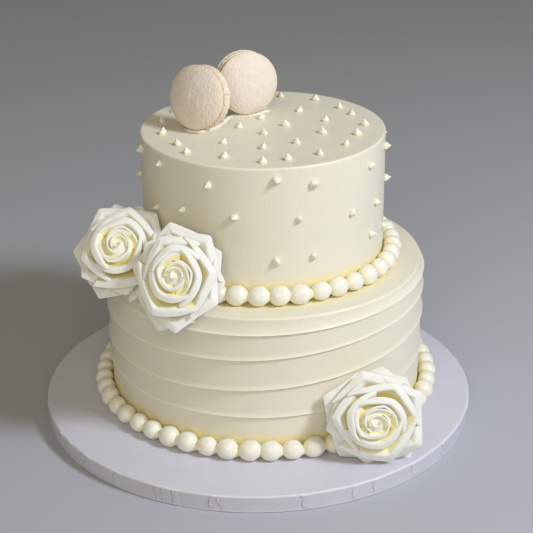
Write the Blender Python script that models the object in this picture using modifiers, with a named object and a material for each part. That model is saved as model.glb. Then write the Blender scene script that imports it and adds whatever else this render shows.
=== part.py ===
"""Two-tier iced cake on its drum board, with bead borders, piped peaks, two macarons and three foam roses.

Metres, +Z up. The origin is the middle of the board's underside, and the front of the cake faces -Y.
"""

import math
import random

import bmesh
import bpy
import numpy as np
from mathutils import Quaternion, Vector

MM = 0.001
GAP = 0.3 * MM

# Drum board
BOARD_RADIUS = 152.4 * MM
BOARD_THICKNESS = 11.7 * MM
BOARD_EDGE = 1.2 * MM
BOARD_STEPS = 60

# Lower tier: its axis, its rim and its four hand-drawn ridges, each of which leans and waves round the tier
LOWER_AXIS = Vector((5.5, 10.6, 0.0)) * MM
LOWER_RIM_RADIUS = 109.5 * MM
LOWER_RIM_HEIGHT = 110.8 * MM
LOWER_RIM_SLOPE = (2.2 * MM, 1.6 * MM)
LOWER_FOOT_RADIUS = 110.5 * MM
LOWER_STEPS = 48
RIDGE_RADIUS = 111.9 * MM
RIDGE_SCOOP = 1.6 * MM
RIDGE_ABOVE = 0.9 * MM
RIDGE_BELOW = 0.7 * MM
RIDGE_UNDERCUT = 2.2 * MM
# Each ridge: middle height, rise towards +X, wave twice round
RIDGES = (
    (101.1 * MM, 2.3 * MM, 1.1 * MM),
    (83.6 * MM, 6.3 * MM, 1.1 * MM),
    (62.5 * MM, 7.5 * MM, 2.0 * MM),
    (41.5 * MM, 2.5 * MM, 1.5 * MM),
)

# Upper tier
UPPER_AXIS = Vector((4.9, 11.7, 0.0)) * MM
UPPER_RADIUS = 83.6 * MM
UPPER_TOP = 202.2 * MM
UPPER_RIM_ROUND = 1.3 * MM
UPPER_STEPS = 48

# Piped peaks. Each ring on top has a radius, a count and a first angle. Each row on the side has a drop from
# the top and a first angle.
PEAK_RADIUS = 2.7 * MM
PEAK_HEIGHT = 4.3 * MM
PEAK_STEPS = 6
PEAK_BITE = 0.6 * MM
PEAK_RINGS = ((69.0 * MM, 19, 2.0), (43.0 * MM, 10, 17.0), (16.0 * MM, 4, 5.0))
PEAK_RING_JITTER = 3.0 * MM
PEAK_ROWS = ((11.0 * MM, 350.0), (37.0 * MM, 337.0), (64.0 * MM, 350.0))
PEAKS_IN_ROW = 14
PEAK_ROW_JITTER = 4.0 * MM
PEAK_ANGLE_JITTER = 3.0
PEAK_SEED = 12

# Bead borders: ring radius, bead radius across the string, count
LOWER_BEADS = (117.4 * MM, 6.4 * MM, 51)
UPPER_BEADS = (90.4 * MM, 6.2 * MM, 41)
BEAD_NECK = 0.45
BEAD_JITTER = 0.05
BEAD_POINTS = 3

# Macarons, each stood on its edge: centre, degrees turned left of -Y, degrees tipped up, and how far the rims
# of its shells are from its middle
SHELL_RADIUS = 21.8 * MM
SHELL_DOME = 6.0 * MM
FILLING_RADIUS = 20.0 * MM
FILLING_HALF = 1.7 * MM
MACARON_STEPS = 16
MACARONS = {
    "front": (Vector((-37.2, 7.1, 224.9)) * MM, 35.0, 13.0, 4.7 * MM),
    "rear": (Vector((-6.9, 41.2, 224.9)) * MM, -20.7, 6.0, 5.2 * MM),
}

# Roses: middle of the widest plane, degrees turned left of -Y, degrees tipped up, spin, and the stretch
# across and along
ROSE_BASE = -10.0 * MM
ROSES = {
    "left": (Vector((-89.4, -51.2, 136.4)) * MM, 6.0, 44.0, 20.0, (0.94, 1.04)),
    "front": (Vector((-50.0, -83.0, 133.6)) * MM, 6.0, 27.0, 40.0, (0.92, 1.06)),
    "low": (Vector((75.4, -102.6, 43.2)) * MM, -3.0, 14.0, 0.0, (1.0, 0.93)),
}
# Each ring of petals: count, first tip's angle, half the spread in degrees, spans across, and the petal's
# section as (distance from the axis, height) in millimetres from its root to its rolled lip
PETAL_RINGS = (
    (5, 0.0, 43.0, 2, ((5.0, -9.0), (21.0, -6.5), (30.0, 0.5), (33.5, -1.5))),
    (4, 35.0, 54.0, 2, ((5.0, -8.0), (18.0, -3.0), (21.5, 7.5), (25.0, 7.5))),
    (3, 10.0, 68.0, 4, ((4.0, -6.0), (13.5, 0.0), (14.5, 12.0), (17.5, 14.0))),
)
# How far out a petal's tip and its corners reach, how far its corners drop in millimetres, and how far one
# side is tucked under its neighbour
TIP_REACH = 1.06
CORNER_REACH = 0.86
CORNER_DROP = 2.5
TUCK = 0.05
PETAL_THICKNESS = 1.3 * MM
# The bud's curled middle: its profile as (radius, height) in millimetres, and its three-cornered shape
BUD_PROFILE = ((3.2, 15.8), (7.0, 18.4), (9.6, 16.5), (10.6, 8.0), (8.5, -4.0), (5.5, -10.0))
BUD_MIDDLE = 18.8
BUD_CORNER = 0.07
BUD_STEPS = 9

# Calyx behind each rose, whose stem reaches the icing
CALYX_RADIUS = 6.0 * MM
CALYX_DEPTH = 4.0 * MM
CALYX_STEPS = 10
STEM_RADIUS = 1.6 * MM
STEM_STEPS = 8


def clear_scene():
    for obj in list(bpy.data.objects):
        bpy.data.objects.remove(obj)


def make_material(name, colour, roughness):
    material = bpy.data.materials.new(name)
    material.use_nodes = True
    shader = material.node_tree.nodes["Principled BSDF"]
    shader.inputs["Base Color"].default_value = (*colour, 1.0)
    shader.inputs["Roughness"].default_value = roughness
    return material


def make_collection(name):
    collection = bpy.data.collections.new(name)
    bpy.context.scene.collection.children.link(collection)
    return collection


def add_object(name, data, collection, material=None):
    obj = bpy.data.objects.new(name, data)
    collection.objects.link(obj)
    if material:
        data.materials.append(material)
    return obj


def as_mesh(obj):
    """Replaces the object's data by the mesh that its modifiers give."""
    graph = bpy.context.evaluated_depsgraph_get()
    mesh = bpy.data.meshes.new_from_object(obj.evaluated_get(graph))
    obj.modifiers.clear()
    obj.data = mesh
    mesh.name = obj.name
    return obj


def shade(obj, sharp_degrees=40.0):
    obj.data.shade_smooth()
    obj.data.set_sharp_from_angle(angle=math.radians(sharp_degrees))


def turned(name, profile, steps, collection, material=None):
    """A solid turned round Z from (radius, height) points that run from the top of the axis to its foot."""
    mesh = bpy.data.meshes.new(name)
    points = [(radius, 0.0, height) for radius, height in profile]
    mesh.from_pydata(points, [(i, i + 1) for i in range(len(points) - 1)], [])
    obj = add_object(name, mesh, collection, material)
    screw = obj.modifiers.new("Turn", "SCREW")
    screw.steps = steps
    screw.render_steps = steps
    screw.use_merge_vertices = True
    screw.merge_threshold = 0.01 * MM
    return as_mesh(obj)


def joined(base, collection):
    """Fuses every object of the collection to the base, then removes them."""
    union = base.modifiers.new("Fuse", "BOOLEAN")
    union.operation = "UNION"
    union.operand_type = "COLLECTION"
    union.collection = collection
    union.solver = "MANIFOLD"
    as_mesh(base)
    for obj in list(collection.objects):
        bpy.data.objects.remove(obj)
    bpy.data.collections.remove(collection)
    return base


def aim(turn_left, tip_up):
    """The direction that many degrees to the left of -Y, seen from the front, and up."""
    left, up = math.radians(turn_left), math.radians(tip_up)
    return Vector((-math.sin(left) * math.cos(up), -math.cos(left) * math.cos(up), math.sin(up)))


def polar(radius, degrees, height=0.0):
    angle = math.radians(degrees)
    return Vector((radius * math.cos(angle), radius * math.sin(angle), height))


def make_board(collection, material):
    bpy.ops.mesh.primitive_cylinder_add(
        vertices=BOARD_STEPS,
        radius=BOARD_RADIUS,
        depth=BOARD_THICKNESS,
        location=(0.0, 0.0, BOARD_THICKNESS / 2),
    )
    board = bpy.context.active_object
    board.name = board.data.name = "board"
    for owner in list(board.users_collection):
        owner.objects.unlink(board)
    collection.objects.link(board)
    board.data.materials.append(material)
    edge = board.modifiers.new("Edge", "BEVEL")
    edge.width = BOARD_EDGE
    edge.segments = 1
    shade(board)


def ridge_shift(degrees, rise, wave):
    angle = math.radians(degrees)
    return rise * math.cos(angle) + wave * math.cos(2 * angle)


def make_lower_tier(collection, material):
    foot = BOARD_THICKNESS + GAP
    rim = LOWER_RIM_HEIGHT
    slope_across, slope_down = LOWER_RIM_SLOPE
    profile = [(0.0, rim), (LOWER_RIM_RADIUS - slope_across, rim), (LOWER_RIM_RADIUS, rim - slope_down)]
    for height, _, _ in RIDGES:
        profile += [
            (RIDGE_RADIUS, height + RIDGE_ABOVE),
            (RIDGE_RADIUS, height - RIDGE_BELOW),
            (RIDGE_RADIUS - RIDGE_SCOOP, height - RIDGE_UNDERCUT),
        ]
    profile += [(LOWER_FOOT_RADIUS, foot), (0.0, foot)]
    tier = turned("lower_tier", profile, LOWER_STEPS, collection, material)
    heights = [foot] + [height for height, _, _ in reversed(RIDGES)] + [rim - slope_down]
    for vertex in tier.data.vertices:
        degrees = math.degrees(math.atan2(vertex.co.y, vertex.co.x))
        shifts = [0.0] + [ridge_shift(degrees, rise, wave) for _, rise, wave in reversed(RIDGES)] + [0.0]
        vertex.co.z += float(np.interp(vertex.co.z, heights, shifts))
    tier.location = LOWER_AXIS
    shade(tier)


def under_a_macaron(spot):
    """Whether a peak at this spot on the top would touch a macaron."""
    for centre, turn, tip, _ in MACARONS.values():
        facing = aim(turn, tip)
        offset = (spot - centre).to_2d()
        along = abs(offset.dot(facing.to_2d().normalized()))
        across = abs(offset.cross(facing.to_2d().normalized()))
        if along < SHELL_RADIUS * 0.62 and across < SHELL_RADIUS * 0.72:
            return True
    return False


def peak_places():
    """The foot and the direction of each piped peak on the upper tier."""
    draw = random.Random(PEAK_SEED)
    places = []
    for radius, count, first in PEAK_RINGS:
        for i in range(count):
            degrees = first + 360.0 * i / count + draw.uniform(-1, 1) * PEAK_ANGLE_JITTER
            reach = radius + draw.uniform(-1, 1) * PEAK_RING_JITTER
            spot = UPPER_AXIS + polar(reach, degrees, UPPER_TOP)
            if not under_a_macaron(spot):
                places.append((spot, Vector((0.0, 0.0, 1.0))))
    for drop, first in PEAK_ROWS:
        for i in range(PEAKS_IN_ROW):
            degrees = first + 360.0 * i / PEAKS_IN_ROW + draw.uniform(-1, 1) * 2 * PEAK_ANGLE_JITTER
            height = UPPER_TOP - drop + draw.uniform(-1, 1) * PEAK_ROW_JITTER
            places.append((UPPER_AXIS + polar(UPPER_RADIUS, degrees, height), polar(1.0, degrees)))
    return places


def make_upper_tier(collection, material):
    foot = LOWER_RIM_HEIGHT + GAP
    profile = [
        (0.0, UPPER_TOP),
        (UPPER_RADIUS - UPPER_RIM_ROUND, UPPER_TOP),
        (UPPER_RADIUS, UPPER_TOP - UPPER_RIM_ROUND),
        (UPPER_RADIUS, foot),
        (0.0, foot),
    ]
    tier = turned("upper_tier", profile, UPPER_STEPS, collection, material)
    tier.location = UPPER_AXIS
    peaks = make_collection("peaks")
    profile = [
        (0.0, PEAK_HEIGHT),
        (0.4 * PEAK_RADIUS, 0.45 * PEAK_HEIGHT),
        (PEAK_RADIUS, -PEAK_BITE),
        (0.0, -PEAK_BITE),
    ]
    pattern = turned("peak", profile, PEAK_STEPS, peaks)
    for spot, outward in peak_places():
        peak = add_object("peak", pattern.data, peaks)
        peak.location = spot
        peak.rotation_mode = "QUATERNION"
        peak.rotation_quaternion = outward.to_track_quat("Z", "Y")
    bpy.data.objects.remove(pattern)
    joined(tier, peaks)
    shade(tier)


def make_beads(name, axis, floor, sizes, collection, material, seed):
    """A ring of piped beads, as one string whose thickness swells at each bead."""
    ring, bead, count = sizes
    draw = random.Random(seed)
    curve = bpy.data.curves.new(name, "CURVE")
    curve.dimensions = "3D"
    curve.bevel_depth = MM
    curve.bevel_resolution = 1
    spline = curve.splines.new("POLY")
    spline.use_cyclic_u = True
    spline.points.add(count * BEAD_POINTS - 1)
    for i in range(count):
        swell = 1.0 + BEAD_JITTER * draw.uniform(-1, 1)
        for k in range(BEAD_POINTS):
            size = bead * (BEAD_NECK if k == 0 else swell)
            point = spline.points[i * BEAD_POINTS + k]
            place = polar(ring, 360.0 * (i + k / BEAD_POINTS) / count, bead * (1 + BEAD_JITTER))
            point.co = (*place, 1.0)
            point.radius = size / MM
    guide = add_object(name, curve, collection)
    guide.location = axis + Vector((0.0, 0.0, floor + GAP))
    graph = bpy.context.evaluated_depsgraph_get()
    mesh = bpy.data.meshes.new_from_object(guide.evaluated_get(graph))
    place = guide.location.copy()
    bpy.data.objects.remove(guide)
    string = add_object(name, mesh, collection, material)
    string.location = place
    shade(string)


def make_macaron(name, collection, shell_material, filling_material):
    """Two domed shells with feet, on both sides of a thin filling."""
    centre, turn, tip, rim = MACARONS[name]
    foot = FILLING_HALF + GAP
    shell = [
        (0.0, rim + SHELL_DOME),
        (SHELL_RADIUS * 0.45, rim + SHELL_DOME * 0.92),
        (SHELL_RADIUS * 0.82, rim + SHELL_DOME * 0.55),
        (SHELL_RADIUS * 0.98, rim + SHELL_DOME * 0.15),
        (SHELL_RADIUS, rim - 0.4 * MM),
        (SHELL_RADIUS * 0.955, rim - 1.0 * MM),
        (SHELL_RADIUS * 0.965, foot),
        (0.0, foot),
    ]
    filling = [
        (0.0, FILLING_HALF),
        (FILLING_RADIUS, FILLING_HALF),
        (FILLING_RADIUS, -FILLING_HALF),
        (0.0, -FILLING_HALF),
    ]
    facing = aim(turn, tip)
    for part, profile, direction, material in (
        ("face", shell, facing, shell_material),
        ("filling", filling, facing, filling_material),
        ("back", shell, -facing, shell_material),
    ):
        piece = turned(f"macaron_{name}_{part}", profile, MACARON_STEPS, collection, material)
        piece.location = centre
        piece.rotation_mode = "QUATERNION"
        piece.rotation_quaternion = direction.to_track_quat("Z", "Y")
        shade(piece)


def petal(name, ring, tip_degrees, collection):
    """A cupped petal with a pointed tip, whose lip rolls back, thickened to a closed solid."""
    _, _, spread, spans, section = ring
    mesh = bpy.data.meshes.new(name)
    work = bmesh.new()
    rows = []
    for step, (radius, height) in enumerate(section):
        reach = step / (len(section) - 1)
        row = []
        for k in range(spans + 1):
            side = 2.0 * k / spans - 1.0
            tip = TIP_REACH + (CORNER_REACH - TIP_REACH) * abs(side)
            stretch = (1.0 + (tip - 1.0) * reach) * (1.0 + TUCK * side * reach)
            drop = CORNER_DROP * reach * side * side
            place = polar(radius * stretch * MM, tip_degrees + side * spread, (height - drop) * MM)
            row.append(work.verts.new(place))
        rows.append(row)
    for low, high in zip(rows, rows[1:]):
        for k in range(spans):
            work.faces.new((low[k], low[k + 1], high[k + 1], high[k]))
    work.to_mesh(mesh)
    work.free()
    obj = add_object(name, mesh, collection)
    thick = obj.modifiers.new("Thickness", "SOLIDIFY")
    thick.thickness = PETAL_THICKNESS
    thick.offset = 0.0
    return as_mesh(obj)


def make_rose(name, collection, material):
    """Rings of petals round a bud, fused into one flower."""
    centre, turn, tip, spin, (across, along) = ROSES[name]
    outline = [(radius * MM, height * MM) for radius, height in BUD_PROFILE]
    profile = [(0.0, BUD_MIDDLE * MM), *outline, (0.0, ROSE_BASE)]
    rose = turned(f"rose_{name}", profile, BUD_STEPS, collection, material)
    for vertex in rose.data.vertices:
        corner = 1.0 + BUD_CORNER * math.cos(3 * math.atan2(vertex.co.y, vertex.co.x))
        vertex.co.x *= corner
        vertex.co.y *= corner
    petals = make_collection("petals")
    for number, ring in enumerate(PETAL_RINGS):
        count, first = ring[:2]
        for i in range(count):
            petal(f"petal_{number}_{i}", ring, first + 360.0 * i / count, petals)
    joined(rose, petals)
    turn_round = Quaternion((0.0, 0.0, 1.0), math.radians(spin))
    for vertex in rose.data.vertices:
        vertex.co.rotate(turn_round)
        vertex.co.x *= across
        vertex.co.y *= along
    rose.location = centre
    rose.rotation_mode = "QUATERNION"
    rose.rotation_quaternion = aim(turn, tip).to_track_quat("Z", "Y")
    shade(rose, 50.0)


def make_calyx(name, wall_axis, wall_radius, collection, material):
    """The green cup behind a rose, and the stem from it to the side of the tier."""
    centre, turn, tip, _, _ = ROSES[name]
    facing = aim(turn, tip)
    root = centre + facing * (ROSE_BASE - GAP)
    profile = [
        (0.0, 0.0),
        (CALYX_RADIUS, 0.0),
        (CALYX_RADIUS * 0.6, -0.7 * CALYX_DEPTH),
        (0.0, -CALYX_DEPTH),
    ]
    calyx = turned(f"calyx_{name}", profile, CALYX_STEPS, collection, material)
    for vertex in calyx.data.vertices:
        vertex.co.rotate(facing.to_track_quat("Z", "Y"))
        vertex.co += root
    start = root - facing * (0.4 * CALYX_DEPTH)
    inward = (wall_axis - start).to_2d()
    length = inward.length - wall_radius - GAP
    inward = Vector((*inward.normalized(), 0.0))
    stems = make_collection("stems")
    bpy.ops.mesh.primitive_cylinder_add(vertices=STEM_STEPS, radius=STEM_RADIUS, depth=length)
    stem = bpy.context.active_object
    for owner in list(stem.users_collection):
        owner.objects.unlink(stem)
    stems.objects.link(stem)
    stem.location = start + inward * (length / 2)
    stem.rotation_mode = "QUATERNION"
    stem.rotation_quaternion = inward.to_track_quat("Z", "Y")
    joined(calyx, stems)
    shade(calyx)


def main():
    clear_scene()
    parts = make_collection("tiered_cake")
    foil = make_material("board_foil", (0.72, 0.71, 0.76), 0.35)
    icing = make_material("icing", (0.88, 0.83, 0.70), 0.42)
    border = make_material("border_icing", (0.91, 0.87, 0.74), 0.3)
    shell = make_material("macaron_shell", (0.86, 0.76, 0.65), 0.7)
    cream = make_material("macaron_filling", (0.78, 0.64, 0.48), 0.6)
    foam = make_material("rose_foam", (0.93, 0.92, 0.86), 0.6)
    green = make_material("calyx_green", (0.12, 0.35, 0.08), 0.5)

    make_board(parts, foil)
    make_lower_tier(parts, icing)
    make_upper_tier(parts, icing)
    make_beads("lower_beads", LOWER_AXIS, BOARD_THICKNESS, LOWER_BEADS, parts, border, 3)
    make_beads("upper_beads", UPPER_AXIS, LOWER_RIM_HEIGHT, UPPER_BEADS, parts, border, 4)
    for name in MACARONS:
        make_macaron(name, parts, shell, cream)
    for name in ROSES:
        make_rose(name, parts, foam)
    make_calyx("left", UPPER_AXIS, UPPER_RADIUS, parts, green)
    make_calyx("front", UPPER_AXIS, UPPER_RADIUS, parts, green)
    make_calyx("low", LOWER_AXIS, RIDGE_RADIUS, parts, green)


main()
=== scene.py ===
"""Dresses a two-tier celebration cake: iced tiers, piping, macarons, foam roses and drum board."""

import math
import random
from collections import namedtuple

import bpy
import numpy as np
from bpy.props import FloatProperty, FloatVectorProperty, IntProperty, PointerProperty
from mathutils import Matrix, Vector


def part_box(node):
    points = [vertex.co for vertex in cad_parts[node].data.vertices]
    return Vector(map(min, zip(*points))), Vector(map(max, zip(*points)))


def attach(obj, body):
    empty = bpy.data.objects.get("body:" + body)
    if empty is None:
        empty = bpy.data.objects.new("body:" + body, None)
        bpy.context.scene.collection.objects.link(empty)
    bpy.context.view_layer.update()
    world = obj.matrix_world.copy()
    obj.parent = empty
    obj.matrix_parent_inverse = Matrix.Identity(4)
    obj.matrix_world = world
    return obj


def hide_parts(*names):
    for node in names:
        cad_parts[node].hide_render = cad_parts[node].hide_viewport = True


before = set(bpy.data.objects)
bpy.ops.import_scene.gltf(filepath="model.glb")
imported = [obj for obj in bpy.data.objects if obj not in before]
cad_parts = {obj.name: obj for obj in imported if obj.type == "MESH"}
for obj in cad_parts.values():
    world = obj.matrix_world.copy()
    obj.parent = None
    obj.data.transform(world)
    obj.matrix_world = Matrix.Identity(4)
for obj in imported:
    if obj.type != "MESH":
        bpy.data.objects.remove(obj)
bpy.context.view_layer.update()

bl_info = {
    "name": "Tiered Cake",
    "version": (1, 0, 0),
    "blender": (4, 5, 0),
    "location": "View3D > Sidebar > Cake",
    "description": "Ices and decorates a two-tier celebration cake on its board",
    "category": "Add Mesh",
}

MM = 0.001
BODY = "root"

# Where the tiers stand and how large they are
LOWER_AXIS = np.array((5.5, 10.6)) * MM
UPPER_AXIS = np.array((4.9, 11.7)) * MM
LOWER_RIM_RADIUS = 109.5 * MM
LOWER_LIP_RADIUS = 112.2 * MM
LOWER_FOOT_RADIUS = 110.5 * MM
UPPER_RADIUS = 83.6 * MM
BOARD_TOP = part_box("board")[1].z
LOWER_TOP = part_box("lower_tier")[1].z
LOWER_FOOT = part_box("lower_tier")[0].z
UPPER_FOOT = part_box("upper_tier")[0].z
UPPER_TOP = 202.2 * MM

# The lower tier's ridges: middle height, rise towards +X, wave twice round
RIDGES = (
    (101.1 * MM, 2.3 * MM, 1.1 * MM),
    (83.6 * MM, 6.3 * MM, 1.1 * MM),
    (62.5 * MM, 7.5 * MM, 2.0 * MM),
    (41.5 * MM, 2.5 * MM, 1.5 * MM),
)

# Where the lower tier's points lie: out along its top, down the band between two ridges in shares of each,
# and back and down under a ridge's lip in millimetres
LEDGE_SHARES = (0.02, 0.4, 0.7, 0.74, 0.78, 0.82, 0.86, 0.9, 0.94, 0.97)
BAND_SHARES = (
    0.02, 0.05, 0.1, 0.17, 0.25, 0.34, 0.44, 0.54, 0.63, 0.71, 0.78, 0.84, 0.89, 0.925, 0.955, 0.98, 1.0,
)
LIP_UNDERSIDE = ((0.1, 0.2), (0.4, 0.42), (0.85, 0.52), (1.25, 0.62), (1.47, 0.9))

# Degrees round the upper tier to the small dent in its rim
RIM_DENT = 277.2

# Piped peaks, by the same rule and draws as the solid
PEAK_RINGS = ((69.0 * MM, 19, 2.0), (43.0 * MM, 10, 17.0), (16.0 * MM, 4, 5.0))
PEAK_RING_JITTER = 3.0 * MM
PEAK_ROWS = ((11.0 * MM, 350.0), (37.0 * MM, 337.0), (64.0 * MM, 350.0))
PEAKS_IN_ROW = 14
PEAK_ROW_JITTER = 4.0 * MM
PEAK_ANGLE_JITTER = 3.0
PEAK_SEED = 12

# A peak's outline, in shares of its radius and height
PEAK_OUTLINE = (
    (0.92, 0.0), (1.06, 0.1), (1.08, 0.24), (0.96, 0.38), (0.72, 0.5), (0.5, 0.62), (0.34, 0.76), (0.17, 0.9),
)
PEAK_SHAPE_SEED = 77

# A bead's half length in shares of its radius, and where on that half its tail starts
BEAD_LENGTH = 1.15
TAIL_START = 0.55

# Bead borders: ring radius, bead radius, count
LOWER_BEADS = (117.4 * MM, 6.5 * MM, 51)
UPPER_BEADS = (90.4 * MM, 6.3 * MM, 41)

# A macaron's shells and filling
SHELL_RADIUS = 21.7 * MM
SHELL_DOME = 6.0 * MM
FILLING_RADIUS = 20.0 * MM
FILLING_HALF = 1.7 * MM

# How a shell turns in to its foot: share of its radius, drop in millimetres, and how ruffled it is
SHELL_FOOT = ((0.998, 0.35, 0.0), (0.985, 0.75, 0.3), (0.958, 0.95, 1.0))

# Macarons: centre, degrees turned left of -Y, degrees tipped up, and how far the rims are from the middle
MACARONS = {
    "front": (Vector((-37.2, 7.1, 224.9)) * MM, 35.0, 13.0, 4.7 * MM),
    "rear": (Vector((-6.9, 41.2, 224.9)) * MM, -20.7, 6.0, 5.2 * MM),
}

# Where the icing line at the macarons' feet runs on the top, in millimetres
SEAT_PATH = (
    (-48.5, 7.4), (-44.1, 2.0), (-39.4, 0.6), (-35.4, 2.2), (-31.4, 4.8), (-27.3, 9.1), (-23.2, 17.4),
    (-20.0, 28.4), (-17.0, 34.4), (-12.3, 34.6), (-6.7, 35.4), (-1.2, 37.6), (4.4, 42.0), (10.1, 47.0),
)

# Roses: middle of the widest plane, degrees turned left of -Y, degrees tipped up, spin, and the stretch
# across, along and of the half that hangs down
ROSES = {
    "left": (Vector((-88.6, -50.4, 136.4)) * MM, 6.0, 45.0, 76.0, (0.96, 1.08, 1.0)),
    "front": (Vector((-49.8, -83.0, 133.5)) * MM, 6.0, 27.0, 0.0, (0.93, 1.05, 1.0)),
    "low": (Vector((75.9, -102.6, 41.5)) * MM, -3.0, 14.0, 55.0, (1.07, 0.98, 1.05)),
}

# The green behind a rose: the cup's outline, the sepals, the rows of points along one, and how far they
# reach. Lengths are in millimetres.
CALYX_CUP = ((5.6, -10.4), (5.9, -10.9), (5.2, -12.0), (3.9, -13.0), (2.2, -13.9))
SEPALS = 5
SEPAL_ROWS = 9
SHORT_SEPAL = 10.0
LONG_SEPAL = 26.0

# The board's paper: points round, its rounded edge, and how far the solid stands outside its smooth side
BOARD_STEPS = 2160
BOARD_EDGE = 0.6 * MM
PAPER_SLACK = 0.5 * MM

# Where the paper is creased on the board's side, in degrees, and a crease's half width in millimetres
CREASES = (
    12.0, 31.0, 47.0, 63.0, 88.0, 104.0, 118.0, 140.0, 156.0, 171.0, 190.0, 206.6, 213.0, 221.0, 232.0,
    244.6, 246.4, 249.2, 258.5, 260.8, 281.0, 293.9, 299.7, 312.0, 324.8, 345.0,
)
CREASE_WIDTH = 0.5
CREASE_SEED = 9

# Where the lights look, and the camera that was fitted to the photograph
LIGHT_TARGET = Vector((0.0, 0.0, 0.1))
CAMERA_PLACE = Vector((6.68, -911.43, 509.58)) * MM
CAMERA_DOWN = 24.03
CAMERA_ROLL = 0.48
CAMERA_LENS = 96.085
CAMERA_SENSOR = 36.0


def linear(red, green, blue):
    """A display colour from 0 to 255 as the linear colour that Blender's sockets take."""
    shares = [value / 255 for value in (red, green, blue)]
    return tuple(s / 12.92 if s <= 0.04045 else ((s + 0.055) / 1.055) ** 2.4 for s in shares)


def colour_setting(name, description, *shade):
    """A colour that the user can change. Its default is a display colour."""
    return FloatVectorProperty(
        name=name, description=description, subtype="COLOR", size=3, min=0.0, max=1.0, default=linear(*shade)
    )


def length_setting(name, description, default):
    kind = {"subtype": "DISTANCE", "unit": "LENGTH"}
    return FloatProperty(name=name, description=description, default=default, **kind)


def power_setting(name, description, default):
    kind = {"subtype": "POWER", "unit": "POWER"}
    return FloatProperty(name=name, description=description, default=default, **kind)


class CakeStage(bpy.types.PropertyGroup):
    """Floor, lights and camera."""

    floor: colour_setting("Floor colour", "Plain pale floor", 182, 185, 195)
    key: power_setting("Key light", "Power of the light from the right", 15.6)
    fill: power_setting("Fill light", "Power of the broad light from the front", 17.0)
    ambient: FloatProperty(name="Ambient", description="Strength of the light from all round", default=0.2)


class CakeBoard(bpy.types.PropertyGroup):
    """The drum board in its foil paper."""

    colour: colour_setting("Paper colour", "Pale lavender foil paper", 215, 215, 230)
    fold: length_setting("Fold depth", "Step of the paper's folds on the board's side", 0.5 * MM)


class CakeIcing(bpy.types.PropertyGroup):
    """Buttercream on both tiers."""

    colour: colour_setting("Icing colour", "Buttercream where the light falls on it", 239, 233, 217)
    # Colour of the painted warm bounce light in crevices where pieces of icing meet
    glow: colour_setting("Crevice colour", "Yellow of buttercream where two pieces of it meet", 252, 236, 140)
    scoop: length_setting("Ridge scoop", "How far the icing falls back under each ridge", 1.5 * MM)
    lip_roll: length_setting("Ridge lip", "How far a ridge's thin lip stands out from the icing", 0.6 * MM)
    unevenness: length_setting("Unevenness", "How far the scraper left the sides from true", 0.22 * MM)
    steps: IntProperty(name="Steps round", description="Points round each tier", default=288)


class CakePiping(bpy.types.PropertyGroup):
    """Piped peaks and bead borders."""

    colour: colour_setting("Piping colour", "Fresh buttercream of the beads and peaks", 243, 240, 230)
    peak_radius: length_setting("Peak radius", "Radius of a peak's foot", 2.4 * MM)
    peak_height: length_setting("Peak height", "Height of a peak's tip over the icing", 4.6 * MM)
    tail: FloatProperty(name="Bead tail", description="Length of a bead's tail in bead radii", default=0.2)


class CakeMacarons(bpy.types.PropertyGroup):
    """The two macarons on top."""

    shell: colour_setting("Shell colour", "Baked almond shell", 239, 227, 217)
    filling: colour_setting("Filling colour", "Cream between the shells", 228, 202, 154)


class CakeRoses(bpy.types.PropertyGroup):
    """The three foam roses."""

    lip: colour_setting("Lip colour", "Rolled lips of the petals", 244, 244, 240)
    # Colour of the painted warm bounce light deep between the petals
    heart: colour_setting("Heart colour", "Cream yellow deep between the petals", 254, 236, 140)
    sheet: length_setting("Foam thickness", "Thickness of a petal's foam sheet", 0.35 * MM)


def new_group(name, inputs, output):
    """An empty shader group with named inputs and one output, and its input and output nodes."""
    group = bpy.data.node_groups.new(name, "ShaderNodeTree")
    for label, default in inputs.items():
        kind = "NodeSocketVector" if isinstance(default, tuple) else "NodeSocketFloat"
        socket = group.interface.new_socket(label, in_out="INPUT", socket_type=kind)
        socket.default_value = default
    group.interface.new_socket(output, in_out="OUTPUT", socket_type="NodeSocketFloat")
    return group, group.nodes.new("NodeGroupInput"), group.nodes.new("NodeGroupOutput")


def stretched_noise(group, given, scale, detail):
    """Noise over the piece's own coordinates times the Stretch input, at the scale of the named input."""
    place = group.nodes.new("ShaderNodeTexCoord")
    stretch = group.nodes.new("ShaderNodeVectorMath")
    stretch.operation = "MULTIPLY"
    noise = group.nodes.new("ShaderNodeTexNoise")
    noise.inputs["Detail"].default_value = detail
    group.links.new(place.outputs["Object"], stretch.inputs[0])
    group.links.new(given.outputs["Stretch"], stretch.inputs[1])
    group.links.new(stretch.outputs[0], noise.inputs["Vector"])
    group.links.new(given.outputs[scale], noise.inputs["Scale"])
    return noise.outputs["Fac"]


def mottle_group():
    """Soft patches from 0 to 1, for colour and roughness that vary over a surface."""
    if "Cake Mottle" in bpy.data.node_groups:
        return bpy.data.node_groups["Cake Mottle"]
    inputs = {"Scale": 40.0, "Stretch": (1.0, 1.0, 1.0), "Low": 0.35, "High": 0.65}
    group, given, result = new_group("Cake Mottle", inputs, "Mask")
    spread = group.nodes.new("ShaderNodeMapRange")
    group.links.new(stretched_noise(group, given, "Scale", detail=4.0), spread.inputs["Value"])
    group.links.new(given.outputs["Low"], spread.inputs["From Min"])
    group.links.new(given.outputs["High"], spread.inputs["From Max"])
    group.links.new(spread.outputs["Result"], result.inputs["Mask"])
    return group


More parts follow.
